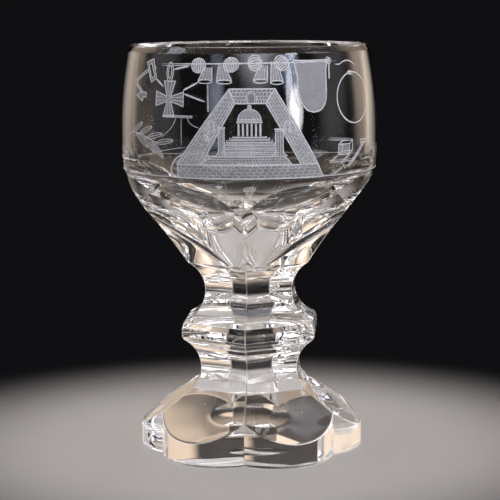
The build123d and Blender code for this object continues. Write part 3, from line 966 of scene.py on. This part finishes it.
sprigSize = {"stem": [(-47.2, 111.7), (-43.5, 111.6), (-39.8, 110.9), (-36.4, 109.9), (-33.6, 108.9)], "leaves": 7,
             "leafLength": 7.6, "leafWidth": 1.5, "lean": 0.5, "stalk": [(-52.0, 109.3), (-49.6, 110.9), (-47.2, 111.7)]}


def drawSprig():
    s = sprigSize
    stem = curve(s["stem"])
    points = [(x, z, 0.006) for x, z in stem]
    edges = [(index, index + 1) for index in range(len(points) - 1)]
    addPlain(runTree(leafSprig, {"Leaves": s["leaves"], "Leaf Length": s["leafLength"], "Leaf Width": s["leafWidth"],
                                 "Line Width": e["fine"] * 1.3, "Lean": s["lean"], "Seed": 5}, points, edges))
    stroke(stem, e["cut"], taper=True)
    stroke(curve(s["stalk"]), e["cut"], taper=True)


# Tools: a mallet and a chisel on the left, a box and a maul on the right.

toolSize = {
    "malletHead": [(-40.0, 134.9), (-36.5, 136.1), (-34.2, 129.8), (-36.8, 128.5)],
    "malletHole": [(-38.8, 134.0), (-37.3, 134.7), (-35.2, 130.5), (-36.6, 129.8)],
    "malletHandle": [(-38.9, 132.4), (-46.3, 128.6)], "malletPeg": [(-35.6, 133.5), (-34.6, 133.1)],
    "chiselShaft": [(-45.8, 128.0), (-41.7, 125.2)],
    "chiselBlade": [(-45.0, 124.0), (-41.2, 122.3), (-40.7, 123.7), (-39.1, 123.6), (-39.1, 125.1), (-42.2, 125.3)],
    "boxFront": [(31.9, 104.6), (37.3, 104.6), (37.3, 108.0), (31.9, 108.0)],
    "boxBack": (1.6, 1.1), "boxShelf": [(27.8, 102.3), (40.0, 102.3)], "boxLid": [(27.4, 109.8), (38.6, 109.0)],
    "trestle": [[(28.2, 102.3), (31.8, 104.2)], [(33.8, 102.3), (37.8, 104.4)], [(38.6, 102.3), (43.2, 104.5)], [(32.8, 102.4), (35.4, 100.0)]],
    "maulHandle": [(36.9, 100.4), (45.8, 107.9)], "maulHead": [(43.6, 109.0), (47.7, 109.0), (47.6, 107.9), (43.9, 107.7)],
    "curl": [(-21.9, 106.0), (-25.2, 104.2), (-27.2, 101.4), (-27.3, 98.4)],
}


def drawTools():
    t = toolSize
    head = [np.array(p) for p in t["malletHead"]]
    hole = [np.array(p) for p in t["malletHole"]]
    for index in range(4):
        beside = (index + 1) % 4
        fill([head[index], head[beside]], [hole[index], hole[beside]])
    stroke(head, e["cut"], closed=True)
    stroke(hole, e["cut"], closed=True)
    for name in ("malletHandle", "chiselShaft", "maulHandle"):
        start, end = np.array(t[name])
        ahead = (end - start) / np.linalg.norm(end - start)
        side = np.array([-ahead[1], ahead[0]]) * 0.4
        fill([start - side, end - side], [start + side, end + side])
        for edge in (-1, 1):
            stroke([start + side * edge, end + side * edge], e["cut"] * 0.9)
    stroke(t["malletPeg"], 1.1, taper=True)
    for name in ("chiselBlade", "maulHead"):
        blade = t[name]
        fill(blade[:len(blade) // 2], blade[len(blade) // 2:][::-1])
        stroke(blade, e["cut"] * 0.9, closed=True)
    deepX, deepZ = t["boxBack"]
    back = [(x + deepX, z + deepZ) for x, z in t["boxFront"]]
    stroke(t["boxFront"], e["cut"] * 0.8, closed=True)
    stroke(back, e["cut"] * 0.8, closed=True)
    for near, far in zip(t["boxFront"], back):
        stroke([near, far], e["cut"] * 0.8)
    fill(t["boxFront"][:2], t["boxFront"][:1:-1])
    for line in t["trestle"] + [t["boxShelf"], t["boxLid"]]:
        stroke(line, e["cut"] * 0.8, taper=True)
        stroke([(x + 0.2, z + 0.6) for x, z in line], e["fine"], taper=True)
    stroke(curve(t["curl"]), e["cut"] * 1.3, taper=True)


# The round medallion and the garland above it.

medallionSize = {"centre": (40.3, 123.0), "half": (8.6, 8.3), "knot": (39.4, 131.1), "garland": [
    (31.5, 134.1), (34.0, 134.0), (36.0, 134.8), (38.5, 135.1), (41.0, 134.4), (43.0, 133.2)]}


def drawMedallion():
    m = medallionSize
    stroke(arc(m["centre"], m["half"], 0, 354, 60), e["cut"] * 1.35, closed=True)
    x, z = m["knot"]
    stroke([(x - 1.7, z + 0.2), (x, z + 0.35), (x + 1.8, z)], 0.7, taper=True)
    stroke([(x - 1.5, z - 0.6), (x, z - 0.4), (x + 1.6, z - 0.8)], e["cut"], taper=True)
    stroke(curve(m["garland"]), e["cut"], taper=True)


# The border line that runs round the foot of the band.

borderSize = {"level": 98.1, "width": 0.26, "parts": 240}


def drawBorder():
    b = borderSize
    halfWay = math.pi * g["bellyRadius"]
    stroke([(s, b["level"]) for s in np.linspace(-halfWay, halfWay, b["parts"] + 1)[:-1]], b["width"], closed=False)


for draw in (drawBorder, drawHangings, drawCross, drawFrame, drawTemple, drawBase, drawSprig, drawTools, drawMedallion):
    draw()
print("engraving drawn", len(lines["faces"]), len(ground["faces"]))


def engrave(name, drawing, depth, material):
    sizes = {"Belly Radius": g["bellyRadius"], "Belly Arc": g["bellyArc"], "Belly Level": g["bellyZ"],
             "Facing": deg(e["facing"]), "Depth": depth, "Thickness": e["thickness"], "Material": material}
    piece = bpy.data.objects.new(name, runTree(wrapOnBand, sizes, drawing["points"], (), drawing["faces"]))
    piece.data.name = name
    bpy.context.scene.collection.objects.link(piece)
    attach(piece, "root")
    print(name, len(piece.data.polygons), "faces")


engrave("engravedLines", lines, e["lineDepth"], cutLine)
engrave("engravedGround", ground, e["groundDepth"], mattGround)

# Floor, lights and camera.

stageSize = {"floorHalf": 1.5, "floorGap": 0.0002, "paleRadius": 0.055, "fadeRadius": 0.16}

floorPaint, tree, shader = newMaterial("floorPaint")
shader.inputs["Base Color"].default_value = (0.43, 0.425, 0.42, 1)
shader.inputs["Roughness"].default_value = 0.55
place3d = tree.nodes.new("ShaderNodeTexCoord")
length = tree.nodes.new("ShaderNodeVectorMath")
length.operation = "LENGTH"
fade = tree.nodes.new("ShaderNodeMapRange")
fade.interpolation_type = "SMOOTHERSTEP"
fade.inputs["From Min"].default_value = stageSize["paleRadius"]
fade.inputs["From Max"].default_value = stageSize["fadeRadius"]
fade.inputs["To Min"].default_value = 1
fade.inputs["To Max"].default_value = 0
tree.links.new(place3d.outputs["Object"], length.inputs[0])
tree.links.new(length.outputs["Value"], fade.inputs["Value"])
tree.links.new(fade.outputs["Result"], shader.inputs["Alpha"])

half = stageSize["floorHalf"]
floorMesh = bpy.data.meshes.new("floor")
under = -stageSize["floorGap"]
floorMesh.from_pydata([(-half, -half, under), (half, -half, under), (half, half, under), (-half, half, under)],
                      [], [(0, 1, 2, 3)])
floor = bpy.data.objects.new("floor", floorMesh)
bpy.context.scene.collection.objects.link(floor)
floor.data.materials.append(floorPaint)


def softbox(name, azimuth, distance, low, high, width, power, colour):
    # An upright soft box that stands round the glass and faces it. Azimuth is counted from -Y toward +X.
    turn = deg(azimuth)
    middle = Vector((math.sin(turn) * distance, -math.cos(turn) * distance, (low + high) / 2))
    data = bpy.data.lights.new(name, "AREA")
    data.shape = "RECTANGLE"
    data.size, data.size_y = width, high - low
    data.energy = power
    data.color = colour
    lamp = bpy.data.objects.new(name, data)
    bpy.context.scene.collection.objects.link(lamp)
    lamp.location = middle
    aim = Vector((0, 0, 0.07))
    lamp.rotation_euler = (aim - middle).to_track_quat("-Z", "Y").to_euler()
    lamp.visible_camera = False
    return lamp


softbox("highLeftBox", -82, 0.7, 0.35, 0.85, 0.34, 1.5, (0.84, 0.89, 1.0))
softbox("highRightBox", 74, 0.7, 0.35, 0.85, 0.34, 1.5, (0.88, 0.91, 1.0))
softbox("topBox", 0, 0.05, 0.9, 1.2, 0.3, 1.2, (1.0, 0.99, 0.97))

worldSize = {
    "dark": (0.005, 0.005, 0.006), "light": (0.37, 0.3, 0.245), "fromLevel": 0.16, "toLevel": 0.62,
    "glows": [      # azimuth and height in degrees, half width where it is full, half width where it ends, colour
        (-128, 20, 8, 27, (1.1, 0.88, 0.69)),
        (132, 16, 8, 28, (1.1, 0.88, 0.69)),
        (164, 16.5, 3.5, 8.5, (0.85, 0.66, 0.5)),
        (-146, -9, 4, 15, (0.36, 0.32, 0.28)),
        (150, -9, 4, 15, (0.36, 0.32, 0.28)),
        (12, 30, 6, 26, (4.3, 4.4, 4.8)),
        (-84, 12, 6, 24, (0.36, 0.34, 0.34)),
        (88, 12, 6, 24, (0.36, 0.34, 0.34)),
        (46.5, 2.5, 4.4, 7.6, (13.0, 13.0, 13.4)),
        (43, 13, 2, 10, (2.2, 2.6, 4.0)),
        (-26, 6, 1, 9, (1.5, 1.65, 2.2)),
    ],
}

world = bpy.data.worlds.new("studio")
bpy.context.scene.world = world
world.use_nodes = True
tree = world.node_tree
direction = tree.nodes.new("ShaderNodeTexCoord").outputs["Generated"]
rise = addNode(tree, "ShaderNodeMapRange", {
    "Value": apart(tree, direction)[2], "From Min": worldSize["fromLevel"], "From Max": worldSize["toLevel"]},
    interpolation_type="SMOOTHSTEP")
total = blend(tree, rise.outputs[0], worldSize["dark"], worldSize["light"])
for azimuth, height, full, end, colour in worldSize["glows"]:
    flatReach = math.cos(deg(height))
    middle = (math.sin(deg(azimuth)) * flatReach, -math.cos(deg(azimuth)) * flatReach, math.sin(deg(height)))
    toward = addNode(tree, "ShaderNodeVectorMath", {0: direction, 1: middle}, operation="DOT_PRODUCT")
    glow = addNode(tree, "ShaderNodeMapRange", {
        "Value": toward.outputs["Value"], "From Min": math.cos(deg(end)), "From Max": math.cos(deg(full))},
        interpolation_type="SMOOTHSTEP")
    total = vectorMaths(tree, "ADD", total, scaled(tree, colour, glow.outputs[0]))
tree.links.new(total, tree.nodes["Background"].inputs["Color"])

cameraData = bpy.data.cameras.new("camera")
cameraData.sensor_width = 36
cameraData.lens = 125.67
camera = bpy.data.objects.new("camera", cameraData)
bpy.context.scene.collection.objects.link(camera)
bpy.context.scene.camera = camera
camera.matrix_world = (Matrix.Translation((0.0440, -0.5994, 0.1570)) @ Matrix.Rotation(deg(4.2), 4, "Z")
                       @ Matrix.Rotation(deg(81.633), 4, "X") @ Matrix.Rotation(deg(-0.431), 4, "Z"))
bpy.context.scene.view_settings.view_transform = "Standard"
cycles = bpy.context.scene.cycles
cycles.max_bounces = 24
cycles.glossy_bounces = 16
cycles.transmission_bounces = 24
cycles.transparent_max_bounces = 24
